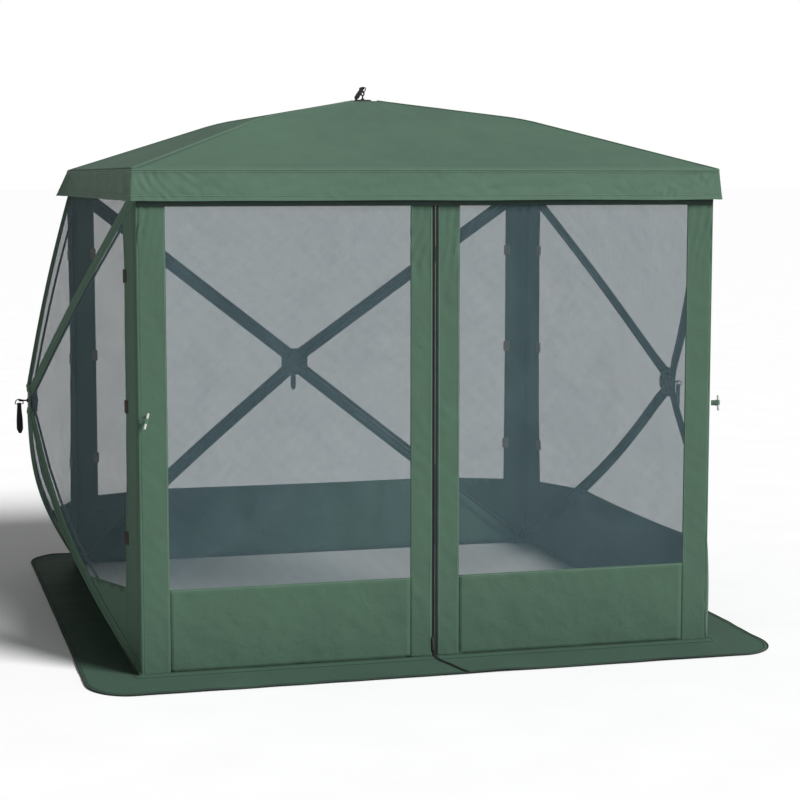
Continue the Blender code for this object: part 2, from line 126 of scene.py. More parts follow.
def make_camera():
    data = bpy.data.cameras.new("camera")
    data.lens = CAM_LENS
    data.sensor_width = 36.0
    data.clip_end = 1000.0
    camera = added("camera", data)
    level = Vector((math.sin(CAM_YAW), math.cos(CAM_YAW), 0))
    ahead = level * math.cos(CAM_PITCH) + Z * math.sin(CAM_PITCH)
    camera.location = CAM_AT
    camera.rotation_euler = ahead.to_track_quat("-Z", "Y").to_euler()
    bpy.context.scene.camera = camera


make_camera()


# ---- materials
class Graph:
    """A material's nodes, joined with short calls."""

    def __init__(self, name, on_cloth=True, **sockets):
        self.made = bpy.data.materials.new(name)
        self.made.use_nodes = True
        self.nodes = self.made.node_tree.nodes
        self.shader = self.nodes["Principled BSDF"]
        self.set(**sockets)
        uv, place = ("UVMap", (), 0), ("TexCoord", (), 3)
        self.where = self.node(*uv, uv_map="cloth") if on_cloth else self.node(*place)

    def feed(self, socket, value):
        """Links another node's output to a socket, or sets its value. None leaves it alone."""
        if isinstance(value, bpy.types.NodeSocket):
            self.made.node_tree.links.new(value, socket)
        elif value is not None:
            socket.default_value = value

    def set(self, **sockets):
        """Feeds the shader's own sockets, with _ for a space in their names."""
        for name, value in sockets.items():
            self.feed(self.shader.inputs[name.replace("_", " ")], value)

    def node(self, kind, inputs=(), output=0, **settings):
        """Adds a node. Inputs go by the socket's name or number."""
        made = self.nodes.new("ShaderNode" + kind)
        for name, value in settings.items():
            setattr(made, name, value)
        for socket, value in dict(inputs).items():
            self.feed(made.inputs[socket], value)
        return made.outputs[output]

    def math(self, operation, *values):
        return self.node("Math", enumerate(values), operation=operation)

    def times(self, first, second):
        return self.math("MULTIPLY", first, second)

    def add(self, total, *others):
        for other in others:
            total = self.math("ADD", total, other)
        return total

    def noise(self, scale, detail=3.0, roughness=0.55, distortion=0.0, where=None):
        inputs = {"Scale": scale, "Detail": detail, "Roughness": roughness}
        inputs |= {"Vector": where or self.where, "Distortion": distortion}
        return self.node("TexNoise", inputs)

    def ramp(self, value, to_low=0.0, to_high=1.0, low=0.3, high=0.7):
        return self.node("MapRange", enumerate((value, low, high, to_low, to_high)))

    def mix(self, share, first, second):
        return self.node("Mix", {0: share, 6: first, 7: second}, 2, data_type="RGBA")

    def bump(self, height, distance, strength=1.0, normal=None):
        inputs = {"Height": height, "Distance": distance, "Strength": strength, "Normal": normal}
        return self.node("Bump", inputs)

    def waves(self, pitch):
        """Sines of one pitch along u and along v: the hills of a plain weave."""
        split = self.node("SeparateXYZ", {0: self.where}).node.outputs
        return [self.math("SINE", self.times(split[axis], TURN / pitch)) for axis in (0, 1)]

    def finish(self, share, first, second, rough, height, depth, strength, normal=None):
        """Mixes the colour, ramps the roughness from its map, and bumps the surface last."""
        self.set(
            Base_Color=self.mix(share, first, second),
            Roughness=self.ramp(*rough),
            Normal=self.bump(height, depth, strength, normal),
        )
        return self.made


def rgb(red, green, blue, factor=1.0):
    return (red * factor, green * factor, blue * factor, 1.0)


def woven(name, colour, weave=0.0011, rough=0.68):
    """Coated polyester: a plain weave, faint folds from packing with a painted highlight along each
    fold line, and uneven dye.
    """
    graph = Graph(name, Sheen_Weight=0.02, Sheen_Roughness=0.5, Specular_IOR_Level=0.14)
    cloudy = graph.noise(9.0, 5.0, 0.6)
    off_line = graph.math("ABSOLUTE", graph.add(graph.noise(2.6, 3.0, 0.45, 0.6), -0.5))
    fold_and_highlight = graph.ramp(off_line, 1.0, 0.0, 0.0, 0.009)
    fold_and_highlight = graph.times(fold_and_highlight, graph.ramp(graph.noise(3.1, 2.0), low=0.50, high=0.62))
    share = graph.add(
        graph.ramp(graph.noise(1.7), -0.10, 0.10),
        graph.ramp(cloudy, -0.07, 0.07),
        graph.ramp(graph.noise(420.0, 2.0), -0.05, 0.05, 0.25, 0.75),
        # painted highlight: the fold lines are made a little paler in colour, as where creases
        # catch the light
        graph.times(fold_and_highlight, 0.07),
        0.5,
    )
    normal = graph.bump(graph.noise(26.0, 4.0, 0.5, 0.8), 0.0016)
    normal = graph.bump(fold_and_highlight, 0.0006, 0.7, normal)
    thread, uneven = graph.times(*graph.waves(weave)), (cloudy, rough - 0.07, rough + 0.07)
    dark, pale = rgb(*colour, 0.72), rgb(*colour, 1.28)
    return graph.finish(share, dark, pale, uneven, thread, 0.00012, 0.8, normal)


def netting(name):
    """No-see-um mesh: square holes, read from afar as a grey veil with uneven density."""
    graph = Graph(name, Specular_IOR_Level=0.2, Roughness=0.7)
    holes = graph.times(*(graph.add(wave, 1.0) for wave in graph.waves(0.0026)))
    veil = graph.noise(3.4, 4.0, 0.6, 1.2)
    inputs = {"Vector": graph.where, "Scale": 9.0, "Distortion": 5.0, "Detail": 2.0}
    streaks = graph.node("TexWave", inputs, bands_direction="DIAGONAL")
    graph.set(
        Alpha=graph.add(
            graph.ramp(holes, 0.56, 0.37, 0.0, 4.0),
            graph.ramp(veil, -0.030, 0.030),
            graph.ramp(streaks, -0.008, 0.008, 0.0, 1.0),
        ),
        Base_Color=graph.mix(graph.ramp(veil), rgb(0.052, 0.088, 0.103), rgb(0.068, 0.109, 0.126)),
        Normal=graph.bump(holes, 0.0002, 0.5),
    )
    return graph.made


def moulded(name, colour, rough):
    """Moulded plastic: fine grain, scuffs, and edges rubbed a little paler."""
    graph = Graph(name, False, Specular_IOR_Level=0.45)
    scuff = graph.noise(60.0, 5.0, 0.65, 1.5)
    edge = graph.ramp(graph.node("NewGeometry", output=7), low=0.52, high=0.62)
    rubbed = graph.times(edge, graph.ramp(scuff, low=0.35, high=0.6))
    share = graph.add(graph.times(rubbed, 0.5), graph.ramp(scuff, 0.0, 0.18, 0.55, 0.75))
    paler = rgb(*(min(1.0, value * 1.5 + 0.012) for value in colour))
    uneven, grain = (scuff, rough - 0.08, rough + 0.12), graph.noise(900.0, 2.0)
    return graph.finish(share, rgb(*colour), paler, uneven, grain, 0.00010, 0.6)


def metal(name, colour, rough):
    """Blackened wire with drawing marks and dull spots."""
    graph = Graph(name, False, Metallic=1.0)
    spots = graph.noise(160.0, 4.0, 0.6)
    uneven, share = (graph.noise(35.0), rough - 0.08, rough + 0.14), graph.ramp(spots, low=0.4)
    return graph.finish(share, rgb(*colour), rgb(*colour, 0.72), uneven, spots, 0.00006, 0.5)


def glass_rod(name):
    """Pultruded fibreglass: dark, with glass strands along it and a satin surface."""
    graph = Graph(name, Specular_IOR_Level=0.5)
    inputs = {0: graph.where, 1: (4.0, 900.0, 1.0)}
    drawn = graph.node("VectorMath", inputs, operation="MULTIPLY")
    strands, broad = graph.noise(1.0, 3.0, 0.6, where=drawn), graph.noise(14.0)
    share = graph.add(graph.ramp(strands, 0.0, 0.8, low=0.35), graph.ramp(broad, -0.1, 0.2))
    dark, pale = rgb(0.022, 0.025, 0.025), rgb(0.055, 0.060, 0.060)
    return graph.finish(share, dark, pale, (broad, 0.33, 0.50), strands, 0.00010, 0.6)


def strap(name, colour, rib=0.0016):
    """Ribbed polypropylene webbing with edge cords and some fluff."""
    graph = Graph(name, Sheen_Weight=0.06, Sheen_Roughness=0.4, Specular_IOR_Level=0.25)
    twill, fluff = graph.math("ABSOLUTE", graph.add(*graph.waves(rib))), graph.noise(300.0)
    share = graph.add(graph.ramp(twill, 0.1, 0.7, 0.0, 2.0), graph.ramp(fluff, -0.15, 0.15))
    dark, pale = rgb(*colour, 0.6), rgb(*colour, 1.5)
    return graph.finish(share, dark, pale, (fluff, 0.72, 0.92), twill, 0.00035, 0.9)


def fuzzy(name, colour, scale=700.0):
    """Loop pile or sewing thread: matt, uneven, with a fibrous surface."""
    graph = Graph(name, False, Sheen_Weight=0.04, Sheen_Roughness=0.6, Specular_IOR_Level=0.15)
    loops = graph.noise(scale, 3.0, 0.7)
    share = graph.add(graph.ramp(loops, 0.0, 0.7), graph.ramp(graph.noise(25.0), 0.0, 0.3))
    dark, pale = rgb(*colour, 0.6), rgb(*colour, 1.35)
    return graph.finish(share, dark, pale, (loops, 0.8, 0.95), loops, 0.0005, 0.8)


ROOF_CLOTH = woven("roof_polyester", (0.066, 0.119, 0.084))
WALL_CLOTH = woven("wall_polyester", (0.054, 0.101, 0.070))
SKIRT_CLOTH = woven("skirt_polyethylene", (0.044, 0.085, 0.061), 0.0016, 0.62)
NET = netting("black_netting")
THREAD = fuzzy("green_thread", (0.150, 0.235, 0.178), 900.0)
DARK_THREAD = fuzzy("dark_thread", (0.034, 0.062, 0.046), 900.0)
BINDING = fuzzy("black_binding", (0.020, 0.026, 0.024), 500.0)
LOOP_TAPE = fuzzy("brown_loop_tape", (0.034, 0.024, 0.020))
PALE_TAPE = fuzzy("tan_loop_tape", (0.260, 0.190, 0.130))
# painted shadow: the dark strip at the foot of the band over the doors stands for the valance's
# shadow
PAINTED_SHADOW_TAPE = fuzzy("header_painted_shadow", (0.024, 0.040, 0.033), 500.0)
ZIP_TAPE = strap("zip_tape", (0.012, 0.016, 0.016), 0.0012)
ZIP_COIL = moulded("zip_coil", (0.016, 0.019, 0.019), 0.48)
ROD = glass_rod("fibreglass_rod")
BLACK = moulded("black_nylon", (0.020, 0.021, 0.022), 0.46)
DARK_STEEL = metal("blackened_wire", (0.035, 0.035, 0.036), 0.46)
PULL_WEB = strap("black_webbing", (0.017, 0.017, 0.018))
GREEN_WEB = strap("green_webbing", (0.080, 0.150, 0.105))
BAR_PLASTIC = moulded("toggle_plastic", (0.330, 0.350, 0.335), 0.40)


# ---- small helpers
def lerp(first, second, share):
    return first + (second - first) * share


def spread(low, high, steps):
    """Evenly spaced values from low to high, both ends included."""
    return [lerp(low, high, i / steps) for i in range(steps + 1)]


def clamp(value, low=0.0, high=1.0):
    return max(low, min(high, value))


def smooth_step(value):
    value = clamp(value)
    return value * value * (3 - 2 * value)


def mound(value, width):
    """1 where the value is 0, falling smoothly away on both sides."""
    return math.exp(-((value / width) ** 2))


def ripple(x, y, z, scale, seed=0.0):
    """Smooth noise from -1 to 1 with features about 1 / scale metres long."""
    return noise.noise(Vector((x * scale + seed, y * scale - seed, z * scale + 2 * seed)))


def mean_of(points):
    return sum(points, Vector()) / len(points)


def along_path(points):
    """Each point of a path, with the way ahead and the distance travelled."""
    travelled = 0.0
    for index, point in enumerate(points):
        if index:
            travelled += (point - points[index - 1]).length
        ahead = points[min(index + 1, len(points) - 1)] - points[max(index - 1, 0)]
        yield point, ahead.normalized(), travelled


# ---- sheets of cloth
def finished(name, mesh, materials, smooth=35.0):
    for made in materials:
        mesh.materials.append(made)
    mesh.shade_smooth()
    if smooth:
        mesh.set_sharp_from_angle(angle=math.radians(smooth))
    return added(name, mesh)


class Sheet:
    """Faces gathered from several patches, with flat cloth coordinates kept as UVs."""

    def __init__(self):
        self.work = bmesh.new()
        self.uv = self.work.loops.layers.uv.new("cloth")

    def face(self, verts, spots, slot=0):
        made = self.work.faces.new(verts)
        made.material_index = slot
        for loop, spot in zip(made.loops, spots):
            loop[self.uv].uv = spot

    def verts(self, points):
        return [self.work.verts.new(point) for point in points]

    def grid(self, rows, flat, slot=0, closed=False):
        """Adds a grid of points. flat holds (u, v) for every point."""
        made = [self.verts(row) for row in rows]
        for low, high, below, above in zip(made, made[1:], flat, flat[1:]):
            count = len(low)
            for j in range(count if closed else count - 1):
                k = (j + 1) % count
                spots = (below[j], below[j + 1], above[j + 1], above[j])
                self.face((low[j], low[k], high[k], high[j]), spots, slot)
        return made

    def surface(self, first, second, place, slot=0, closed=False):
        """Adds a grid with a row for each value of first. place gives a point and its flat spot."""
        pairs = [[place(a, b) for b in second] for a in first]
        rows = [[point for point, _ in row] for row in pairs]
        flat = [[spot for _, spot in (*row, row[0])] for row in pairs]
        self.grid(rows, flat, slot, closed)
        return rows

    def side_faces(self, lower, upper, spots, slot=0):
        """Closes the sides between two matching rings of vertices."""
        for i in range(len(lower)):
            j = (i + 1) % len(lower)
            self.face((lower[i], lower[j], upper[j], upper[i]), spots, slot)

    def stitches(self, points, up):
        """A row of raised threads along a line of points on the cloth."""
        long, wide, high = STITCH
        carried = STITCH_PITCH / 2
        for start, end in zip(points, points[1:]):
            reach = (end - start).length
            if reach < 1e-9:
                continue
            along = (end - start) / reach
            side = along.cross(up).normalized()
            while carried <= reach:
                at = start + along * carried
                self.stitch(at, along * (long / 2), side * (wide / 2), up * high)
                carried += STITCH_PITCH
            carried -= reach

    def stitch(self, at, along, side, up):
        ring = [along * a + side * b for a, b in AROUND]
        lower = self.verts([at + step - up * 0.3 for step in ring])
        upper = self.verts([at + step * 0.6 + up for step in ring])
        spots = [(0, 0), (0.001, 0), (0.001, 0.001), (0, 0.001)]
        self.face(upper, spots, 1)
        self.side_faces(lower, upper, spots, 1)

    def object(self, name, materials, smooth=35.0, weld=0.00002):
        if weld:
            bmesh.ops.remove_doubles(self.work, verts=self.work.verts, dist=weld)
        mesh = bpy.data.meshes.new(name)
        self.work.to_mesh(mesh)
        self.work.free()
        return finished(name, mesh, materials, smooth)

    def sewn(self, name, materials, out, smooth=40, thickness=CLOTH_T):
        """The sheet as an object of real thickness whose cloth faces look along out."""
        obj = self.object(name, materials, smooth)
        orient(obj, out)
        step = obj.modifiers.new("thickness", "SOLIDIFY")
        step.thickness = thickness
        step.offset = -1
        return obj


def orient(obj, out):
    """Turns every cloth face so that it looks along out."""
    for poly in obj.data.polygons:
        if poly.material_index == 0 and poly.normal.dot(out) < 0:
            poly.flip()


def joined(obj, slot, body="shelter", replaced=None, start=None, end=None):
    """Moves a piece with one body or, given a start and end, bakes its transform in place and
    leaves it there.
    """
    if start is None:
        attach(obj, body)
    else:
        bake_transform(obj)
        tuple(start)
        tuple(end)
    if replaced:
        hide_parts(replaced)


# ---- the roof
ROOF_ROWS = 34
ROOF_COLUMNS = 56
HIP_SEAM = 0.011
HIP_STITCH = 0.008


def hip_height(half):
    """Height of the hips where the square through them has this half width."""
    kink = EAVE_HALF * KINK_AT
    if half >= kink:
        base = lerp(EAVE_Z, KINK_Z, (EAVE_HALF - half) / (EAVE_HALF - kink))
    else:
        base = lerp(KINK_Z, PEAK_Z, (kink - half) / (kink - PAD))
    return min(PEAK_Z, base - 0.0020 * mound(half - kink, 0.022))


def roof_point(out, across, half, lift=0.0):
    """A point of one roof face: across from its middle line, on the square of this half width."""
    share = (EAVE_HALF - half) / (EAVE_HALF - PAD)
    off_hip = 1 - min(1.0, abs(across) / half) ** 2
    sag = ROOF_SAG * off_hip * math.sin(math.pi * clamp(share)) ** 0.8
    spot = MIDDLE + out * half + Z.cross(out) * across
    rough = 0.0030 * ripple(spot.x, spot.y, 0.0, 4.0, 3.1)
    rough += 0.0020 * ripple(spot.x * 2.2, spot.y * 0.7, 0.0, 11.0, 9.4)
    rough -= 0.0034 * abs(ripple(spot.x * 0.8 + spot.y, spot.y * 0.8, 0.0, 6.5, 2.6))
    aside, inward = EAVE_HALF - abs(across), EAVE_HALF - half
    drag = 0.0020 * math.sin(22.0 * math.atan2(aside + 0.05, inward + 0.05))
    drag *= math.exp(-2.6 * math.hypot(aside, inward))
    quiet = clamp(off_hip * 3.0) * clamp(share * 12) * clamp((1 - share) * 9)
    return spot + Z * (hip_height(half) - sag + (rough + drag) * quiet + lift)


def roof_face(side, out):
    """One face of the roof, with the seams and stitches along its hips."""
    sheet = Sheet()

    def place(half, share):
        across = lerp(-half, half, share)
        return roof_point(out, across, half), (across, EAVE_HALF - half)

    sheet.surface(spread(EAVE_HALF, PAD, ROOF_ROWS), spread(0, 1, ROOF_COLUMNS), place)
    if side == "front":
        square = [(x * PAD, y * PAD) for x, y in AROUND]
        sheet.face(sheet.verts(MIDDLE + Vector((x, y, PEAK_Z)) for x, y in square), square)
    for sign in (-1, 1):

        def seam(half, step):
            inward = HIP_SEAM * step / 3
            lift = 0.0015 if step < 3 else 0.0003
            point = roof_point(out, sign * max(half - inward, 0), half, lift)
            return point, (sign * (half - inward), EAVE_HALF - half)

        halves = spread(EAVE_HALF, PAD, ROOF_ROWS * 2)
        sheet.surface(halves[::-1], range(4)[::sign], seam)
        line = [roof_point(out, sign * max(half - HIP_STITCH, 0), half, 0.0017) for half in halves]
        sheet.stitches(line, Z)
    obj = sheet.sewn(f"roof_canopy_{side}", [ROOF_CLOTH, THREAD], Z, 50)
    start, end = MIDDLE + out * (EAVE_HALF - ROOF_STILL_EDGE), MIDDLE + out * PAD
    joined(obj, "roof_cloth", "hub_roof", "roof_canopy" if side == "front" else None, start, end)


# ---- the valance
VALANCE_STEP = 0.0065
HEM = 0.018
BAND_LIFT = 0.010  # the turned-up hem stands this much above the frame's own band
BAND_DEPTH = EAVE_Z - BAND_LOW.z - BAND_LIFT
DROPS = (
    *(0.0, 0.004, 0.012, 0.022, 0.032, 0.042, 0.052, 0.062),
    *(0.072, 0.082, 0.092, 0.1005, 0.1015, 0.110, 0.1185, 0.1205),
)
CORNER_FLARE = {"fl": 0.006, "fr": 0.010, "br": 0.022, "bl": 0.048}  # how far the band stands out
BAND_ENDS = {"front": "fl fr", "right": "fr br", "back": "br bl", "left": "bl fl"}
BAND_STITCHES = ((1, 0.0011), (2, 0.0011), (11, 0.0012))  # which drop, and how far off the cloth


def band_wrinkle(across, drop, off_corner, seed):
    """Waves of the hanging band, with creases dragged down from its corners."""
    wave = 0.0044 * ripple(across, drop * 0.5, 0.0, 4.5, seed)
    wave += 0.0030 * ripple(across + drop * 1.4, drop * 2.0, 0.0, 11.0, seed + 5)
    wave -= 0.0034 * abs(ripple(across - drop * 0.9, drop * 1.2, 0.0, 17.0, seed + 9))
    slant = (off_corner * 0.80 - drop * 0.62) / 0.031
    drag = 0.0024 * math.sin(TURN * slant + 7.0 * ripple(across, drop, 0.0, 9.0, seed + 1))
    drag *= 0.25 + 1.6 * abs(ripple(across, drop * 1.5, 0.0, 12.0, seed + 3))
    return wave + drag * mound(off_corner - 0.07, 0.16)


def valance_side(index, side, out):
    """One side of the band under the eaves, with its turned hem and top stitching."""
    sheet = Sheet()
    width, last = 2 * EAVE_HALF, DROPS[-1]
    first, second = (CORNER_FLARE[end] for end in BAND_ENDS[side].split())
    seed = 17.0 * index

    def place(drop, along):
        share = drop / last
        across = lerp(-EAVE_HALF - first * share, EAVE_HALF + second * share, along)
        near_first, near_second = (math.exp(-off * width / 0.30) for off in (along, 1 - along))
        flare = FLARE + (first - FLARE) * near_first + (second - FLARE) * near_second
        off_corner = width * min(along, 1 - along)
        loose = 1 - mound(off_corner, 0.022)
        wave = band_wrinkle(across, drop, off_corner, seed)
        wave *= math.sin(math.pi * (0.08 + 0.80 * share)) * loose
        wave += 0.0009 if drop > last - HEM else 0.0
        wave += 0.0010 if drop < 0.006 else 0.0
        sagging = 0.0030 * ripple(across, 0.0, 0.0, 3.0, seed + 2) * share * loose
        spot = MIDDLE + out * (EAVE_HALF + flare * share**1.2 + wave) + Z.cross(out) * across
        height = EAVE_Z - BAND_DEPTH * share + sagging
        return spot + Z * height, (across + 3.0 * index, drop + 5.0)

    rows = sheet.surface(DROPS, spread(0, 1, int(width / VALANCE_STEP)), place)
    for row, gap in BAND_STITCHES:
        sheet.stitches([point + out * gap for point in rows[row]], out)
    obj = sheet.sewn(f"valance_{side}", [ROOF_CLOTH, THREAD], out, 60)
    joined(obj, "roof_cloth", replaced="valance" if side == "front" else None)


# ---- walls with a hub
PATCH_SIZE = (0.025, 0.048)
PATCH_HEIGHTS = (0.48, 0.945, 1.40)
SLEEVE_TUCK = 0.022  # how far a sleeve runs on under the hub's patch
SLEEVE_PROFILE = (  # distance from the pole's line, and height over the cloth
    *((0.0, 0.0062), (0.0035, 0.0056), (0.0065, 0.0036), (0.0095, 0.0016)),
    *((0.018, 0.0012), (SLEEVE_HALF - 0.002, 0.0012), (SLEEVE_HALF, 0.0004)),
)
SLEEVE_STITCHES = (0.0125, SLEEVE_HALF - 0.004)
SLEEVE_MARGIN = 0.003  # stitches keep this far inside the wall
HUB_PATCH_RINGS = (0.034, 0.040, 0.045, 0.050, 0.054, 0.058, 0.063)


def wall_frame(side):
    """Origin at the wall's middle on the wall plane: x across, y up, z outwards."""
    out = WALLS[side]
    turn = Matrix((Z.cross(out), Z, out)).transposed()
    return Matrix.Translation(MIDDLE + out * HALF + Z * HUB_Z) @ turn.to_4x4()


def wall_out(x, y, ripples=1.0):
    """How far the flexed wall stands out of its plane at this place."""
    side = (HALF - abs(x)) / (HALF - PAD)
    end = (TOP - y) / (TOP - PAD) if y > 0 else (y - BOTTOM) / (-PAD - BOTTOM)
    share = clamp(min(side, end))
    left = 1 - share
    high = (TOP - BOTTOM) / 2 * left + PAD * share
    middle = (TOP + BOTTOM) / 2 * left
    lower = clamp((1 - (y - middle) / high) / 2)
    bow = lerp(UPPER_BOW, LOWER_BOW, lower) * math.sin(math.pi * share)
    off_pole = clamp(abs(side - end) / max(left, 0.02))
    sag = NET_SAG * 4 * share * left * (1 - (1 - off_pole) ** 2)
    free = clamp(left * 8) * clamp(share * 14) * clamp(off_pole * 7)
    rough = 0.0022 * ripple(x, y, 0.0, 5.0, 1.7) + 0.0010 * ripple(x * 1.5, y, 0.0, 16.0, 6.2)
    return BULGE * share + bow - sag + rough * free * ripples


def on_wall(matrix, x, y, lift=0.0, ripples=1.0):
    """A point of the flexed wall, or one this far off its cloth."""
    return matrix @ Vector((x, y, wall_out(x, y, ripples) + lift))


def sector_corners(sector):
    """The outer and inner ends of a wall's triangle, in its plane, anticlockwise from outside."""
    towards = SECTORS[sector]
    ways = [towards + Z.cross(towards) * sign for sign in (-1, 1)]
    outer = [Vector((x * HALF, TOP if y > 0 else BOTTOM, 0)) for x, y, _ in ways]
    return *outer, *(way * PAD for way in ways)


def flat_sector(sector, across=44, deep=34):
    """A wall's triangle cut out flat, split along the post strips and the bottom panel."""
    first, second, first_in, second_in = sector_corners(sector)
    work = bmesh.new()
    ends = zip(spread(first, first_in, deep), spread(second, second_in, deep))
    rows = [[work.verts.new(spot) for spot in spread(*pair, across)] for pair in ends]
    for low, high in zip(rows, rows[1:]):
        for j in range(across):
            work.faces.new((low[j], low[j + 1], high[j + 1], high[j]))
    for point, normal in ((X * (HALF - POST_W), X), (X * (POST_W - HALF), X), (Y * PANEL_Y, Y)):
        geometry = list(work.verts) + list(work.edges) + list(work.faces)
        bmesh.ops.bisect_plane(work, geom=geometry, plane_co=point, plane_no=normal, dist=0.0006)
    return work


def copy_faces(sheet, work, matrix, border):
    """Copies a flat triangle's border faces, or its other ones, onto the flexed wall."""
    made = {}
    for face in work.faces:
        centre = face.calc_center_median()
        if (abs(centre.x) > HALF - POST_W or centre.y < PANEL_Y) != border:
            continue
        for vert in face.verts:
            if vert not in made:
                made[vert] = sheet.work.verts.new(on_wall(matrix, vert.co.x, vert.co.y))
        sheet.face([made[vert] for vert in face.verts], [vert.co.xy for vert in face.verts])


def half_sleeve(sheet, matrix, corner, inner, inward, start_v):
    """Half of a pole sleeve, from the wall's corner to the hub, on this triangle's side of it."""
    along = (inner - corner).normalized()
    travels = spread(0, (inner - corner).length + SLEEVE_TUCK, 72)

    def place(travelled, edge):
        offset, lift = edge
        spot = corner + along * travelled + inward * offset
        pucker = 0.0006 * math.sin(TURN * travelled / 0.052 + offset * 90) if offset > 0.01 else 0
        out = wall_out(spot.x, spot.y, 0.5) + lift + pucker * clamp(offset / 0.02) * 0.6
        spot = Vector((clamp(spot.x, -HALF, HALF), clamp(spot.y, BOTTOM, TOP), out))
        return matrix @ spot, (travelled, offset + start_v)

    sheet.surface(travels, SLEEVE_PROFILE, place)
    for offset in SLEEVE_STITCHES:
        points = []
        for travelled in travels:
            x, y, _ = corner + along * travelled + inward * offset
            across_inside = abs(x) <= HALF - SLEEVE_MARGIN
            if across_inside and BOTTOM + SLEEVE_MARGIN < y < TOP - SLEEVE_MARGIN:
                points.append(on_wall(matrix, x, y, 0.0018, 0.5))
        sheet.stitches(points, matrix.col[2].xyz)


def loop_patch(sheet, matrix, x, y, turn=0.0, face=1):
    """A small hook-and-loop patch on the cloth's outer face, or on its inner one with face=-1."""
    slot, under = (2, 0.0) if face > 0 else (3, CLOTH_T)
    ring = []
    for angle in spread(0, TURN, 20)[:-1]:
        a, b = (
            math.copysign(abs(way) ** 0.25 * size / 2, way)
            for way, size in zip((math.cos(angle), math.sin(angle)), PATCH_SIZE)
        )
        cos, sin = math.cos(turn), math.sin(turn)
        ring.append((x + a * cos - b * sin, y + a * sin + b * cos))
    low = [on_wall(matrix, a, b, face * (0.0004 + under), 0.5) for a, b in ring]
    high = []
    for a, b in ring:
        out = wall_out(a, b, 0.5) + face * (0.0022 + under)
        high.append(matrix @ Vector((lerp(x, a, 0.93), lerp(y, b, 0.96), out)))
    made = sheet.grid([low, high], [ring + ring[:1]] * 2, slot, closed=True)
    sheet.face(made[1], ring, slot)


def hub_patch(sheet, matrix):
    """The reinforcement sewn round a wall's hub, over the ends of the four sleeves."""

    def place(reach, angle):
        cos, sin = math.cos(angle), math.sin(angle)
        square = (abs(cos) ** 7 + abs(sin) ** 7) ** (-1 / 7)
        x, y = reach * square * cos, reach * square * sin
        over_pole = 0.0030 + 0.0052 * mound(abs(x) - abs(y), 0.016)
        rise = smooth_step((math.hypot(x, y) - 0.038) / 0.012)
        return on_wall(matrix, x, y, lerp(-0.0006, over_pole, rise), 0.0), (x, y)

    rows = sheet.surface(HUB_PATCH_RINGS, spread(0, TURN, 64)[:-1], place, closed=True)
    up = matrix.col[2].xyz
    sheet.stitches([point + up * 0.0006 for point in rows[-2] + rows[-2][:1]], up)


def poles_of(side):
    return [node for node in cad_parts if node.startswith(f"pole_{side}_")]


def wall_piece(side, sector):
    """One triangle of a wall: its netting as one sheet, its green cloth as another."""
    matrix, out, towards = wall_frame(side), WALLS[side], SECTORS[sector]
    work = flat_sector(sector)
    net, cloth = Sheet(), Sheet()
    copy_faces(net, work, matrix, False)
    copy_faces(cloth, work, matrix, True)
    work.free()
    net_obj = net.object(f"net_{side}_{sector}", [NET], 0)
    first, second, first_in, second_in = sector_corners(sector)
    for corner, inner, other, start_v in (
        (first, first_in, second, 0.2),
        (second, second_in, first, 0.4),
    ):
        along = (inner - corner).normalized()
        inward = Vector((-along.y, along.x, 0))
        if inward.dot(other - corner) < 0:
            inward.negate()
        half_sleeve(cloth, matrix, corner, inner, inward, start_v)
    if sector == "top":
        square = [(x * PAD, y * PAD) for x, y in AROUND]
        cloth.face(cloth.verts(matrix @ Vector((*spot, BULGE)) for spot in square), square)
        hub_patch(cloth, matrix)
    if sector == "bottom":
        x = -0.74 if side == "left" else 0.70
        loop_patch(cloth, matrix, x, PANEL_Y - 0.022, math.pi / 2 + 0.1)
    sign = int(towards.x)
    if sign:
        edge = sign * (HALF - POST_W)
        for height in PATCH_HEIGHTS:
            for face in (1, -1):
                loop_patch(cloth, matrix, edge + sign * 0.006, height - HUB_Z, face=face)
        x, heights = edge + sign * 0.0045, spread(0.92 * BOTTOM, 0.92 * TOP, 120)
        cloth.stitches([on_wall(matrix, x, y, STITCH_LIFT) for y in heights], out)
    looks = [WALL_CLOTH, THREAD, LOOP_TAPE, PALE_TAPE]
    cloth_obj = cloth.sewn(f"wall_{side}_{sector}", looks, out)
    rim = {"top": TOP, "bottom": -BOTTOM}.get(sector, HALF)
    ends = [matrix @ (towards * reach) for reach in (rim - STILL_EDGE, PAD)]
    joined(net_obj, "wall_mesh", f"hub_{side}", None, *ends)
    replaced = f"wall_{side}" if sector == "top" else None
    joined(cloth_obj, "border_cloth", f"hub_{side}", replaced, *ends)
    rods = [name.replace("pole_", "pole_rod_") for name in poles_of(side)]


# ---- the front wall
DOOR_SEWN = DOOR_TOP - 0.01  # the height of the doors' start point, handed to joined
DOOR_STIFF = 1.05  # the height of their end point, handed to joined
ZIP_PITCH = 0.0060
ZIP_STEPS = 120
WELT_RADIUS = 0.0050
WELT_TURN = 1.5 * math.pi


def front_wrinkle(x, z, seed):
    """Wrinkles of the door wall, still along hinges and zip, with creases hanging from its top."""
    wave = 0.0024 * ripple(x, z * 0.6, 0.0, 7.0, seed)
    wave += 0.0013 * ripple(x * 1.4 + z * 0.6, z, 0.0, 19.0, seed + 4)
    wave -= 0.0016 * abs(ripple(x + 0.7 * z, z * 0.5, 0.0, 9.0, seed + 7))
    drop = DOOR_TOP - z
    drag = math.sin(TURN * (x + 0.22 * drop) / 0.034 + 5.0 * ripple(x, z, 0.0, 7.0, seed + 1))
    drag *= 0.0034 * (0.2 + 1.6 * abs(ripple(x, z * 0.7, 0.0, 10.0, seed + 3)))
    wave += drag * mound(drop - 0.07, 0.16)
    off_seam = min(abs(abs(x) - DOOR_HINGE), abs(abs(x) - ZIP_HALF))
    return wave * clamp(off_seam / 0.018)


def front_point(x, z, lift, wave, seed):
    return Vector((x, FRONT_Y - lift - wave * front_wrinkle(x, z, seed), z))


